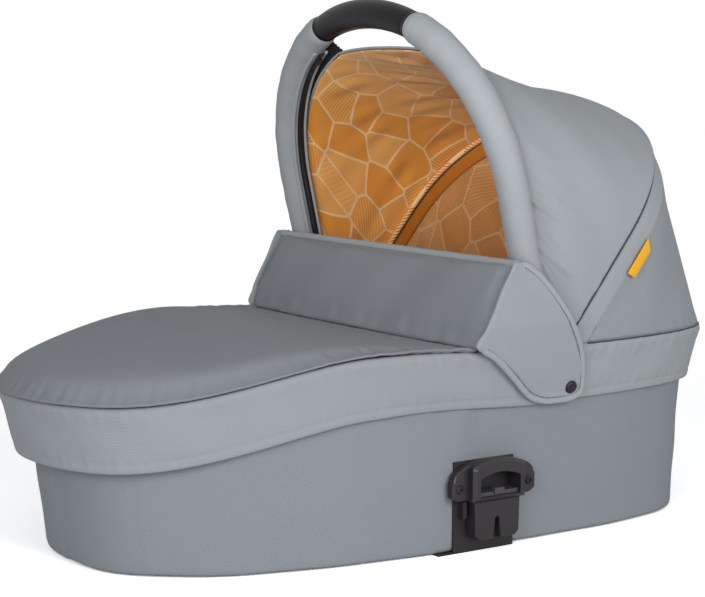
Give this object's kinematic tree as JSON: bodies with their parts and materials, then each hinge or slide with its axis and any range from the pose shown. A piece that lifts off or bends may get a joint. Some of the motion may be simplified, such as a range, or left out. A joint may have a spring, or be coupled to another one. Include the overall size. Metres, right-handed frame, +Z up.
{
  "type": "carrycot",
  "caption": "Carrycot with a tapered fabric tub, a boot cover with an upright wind flap, a folding hood whose front bow is the carrying handle, and a chassis adapter on each side.",
  "frame": {"origin": "Middle of the bounding box in X and Y, at the lowest point, where the base tray and the adapters' floor blades stand on the ground.", "axes": "+X toward the head end with the hood, -X toward the rounded foot end; +Z up; -Y is the side of the right-hand adapter, with the label, that faces the camera."},
  "size_m": [0.84, 0.477, 0.5937],
  "materials": {
    "tub_shell": "fine twill over a stiffened wall",
    "base_tray": "grained",
    "base_board": "pressed board",
    "tub_liner": "smooth lining",
    "mattress": "padded",
    "rim_frame": "drawn tube",
    "cover_band": "fine twill with a stitched hem",
    "hood_band": "fine twill with a stitched hem",
    "cover_top": "fine twill, lightly padded",
    "wind_flap": "fine twill, padded",
    "wing": "fine twill with a bound edge",
    "stud": "dark, satin",
    "hub": "grained",
    "rear_hoop": "flat sprung strip",
    "hoop_sleeve": "fine twill",
    "hoop_piping": "corded edge",
    "label_tag": "bare",
    "bow_tube": "drawn tube",
    "bow_sleeve": "fine twill, padded",
    "handle_grip": "soft-touch",
    "zip_tape": "coil zip",
    "zip_slider": "satin",
    "canopy_front": "fine twill",
    "canopy_rear": "fine twill",
    "lining_front": "printed lining",
    "lining_rear": "fine mesh",
    "adapter_plate": "grained",
    "adapter_housing": "grained",
    "adapter_tongue": "grained",
    "adapter_screw": "black",
    "latch_pin": "bright",
    "release_slider": "smooth"
  },
  "bodies": {
    "cot": {"tub_shell": "tub_shell", "base_tray": "base_tray", "base_board": "base_board", "tub_liner": "tub_liner", "mattress": "mattress", "rim_frame": "rim_frame", "cover_band": "cover_band", "hood_band": "hood_band", "cover_top": "cover_top", "stud_socket_right": "stud", "stud_socket_left": "stud", "hood_hub_right": "hub", "hood_hub_left": "hub", "hub_cap_right": "hub", "hub_cap_left": "hub", "canopy_rear": "canopy_rear", "lining_rear": "lining_rear", "adapter_plate_right": "adapter_plate", "adapter_plate_left": "adapter_plate", "adapter_housing_right": "adapter_housing", "adapter_housing_left": "adapter_housing", "adapter_tongue_right": "adapter_tongue", "adapter_tongue_left": "adapter_tongue", "adapter_screw_right_1": "adapter_screw", "adapter_screw_right_2": "adapter_screw", "adapter_screw_left_1": "adapter_screw", "adapter_screw_left_2": "adapter_screw", "latch_pin_right": "latch_pin", "latch_pin_left": "latch_pin"},
    "rear_hoop": {"rear_hoop": "rear_hoop", "hoop_sleeve": "hoop_sleeve", "hoop_piping": "hoop_piping", "label_tag": "label_tag"},
    "front_bow": {"bow_tube": "bow_tube", "bow_sleeve_right": "bow_sleeve", "bow_sleeve_left": "bow_sleeve", "handle_grip": "handle_grip", "zip_tape_right": "zip_tape", "zip_tape_left": "zip_tape", "zip_slider_right": "zip_slider", "zip_slider_left": "zip_slider", "canopy_front": "canopy_front", "lining_front": "lining_front"},
    "wind_flap": {"wind_flap": "wind_flap"},
    "wing_right": {"wing_right": "wing", "stud_cap_right": "stud"},
    "wing_left": {"wing_left": "wing", "stud_cap_left": "stud"},
    "release_slider_right": {"release_slider_right": "release_slider"},
    "release_slider_left": {"release_slider_left": "release_slider"}
  },
  "joints": [
    {"name": "rear_hoop_fold", "type": "hinge", "parent": "cot", "child": "rear_hoop", "pos_m": [0.128, 0, 0.224], "axis": [0, 1, 0], "range_deg": [0, 32], "deforming": ["canopy_rear", "lining_rear", "hoop_sleeve"]},
    {"name": "front_bow_fold", "type": "hinge", "parent": "rear_hoop", "child": "front_bow", "pos_m": [0.128, 0, 0.224], "axis": [0, 1, 0], "range_deg": [0, 40], "deforming": ["canopy_front", "lining_front"]},
    {"name": "wind_flap_fold", "type": "hinge", "parent": "cot", "child": "wind_flap", "pos_m": [-0.0078, 0, 0.2225], "axis": [0, -1, 0], "range_deg": [0, 110]},
    {"name": "wing_right_open", "type": "hinge", "parent": "wind_flap", "child": "wing_right", "pos_m": [-0.004, -0.2345, 0.2145], "axis": [-0.4665, 0, -0.8845], "range_deg": [0, 90]},
    {"name": "wing_left_open", "type": "hinge", "parent": "wind_flap", "child": "wing_left", "pos_m": [-0.004, 0.2345, 0.2145], "axis": [0.4665, 0, 0.8845], "range_deg": [0, 90]},
    {"name": "release_right", "type": "slide", "parent": "cot", "child": "release_slider_right", "axis": [0, 0, 1], "range_m": [0, 0.007], "stiffness_N_per_m": 250, "springref_m": -0.002},
    {"name": "release_left", "type": "slide", "parent": "cot", "child": "release_slider_left", "axis": [0, 0, 1], "range_m": [0, 0.007], "stiffness_N_per_m": 250, "springref_m": -0.002}
  ],
  "couplings": [
    {"joint": "front_bow_fold", "follows": "rear_hoop_fold", "ratio": 1.25},
    {"joint": "wing_right_open", "follows": "wind_flap_fold", "ratio": 0.8},
    {"joint": "wing_left_open", "follows": "wind_flap_fold", "ratio": 0.8}
  ]
}
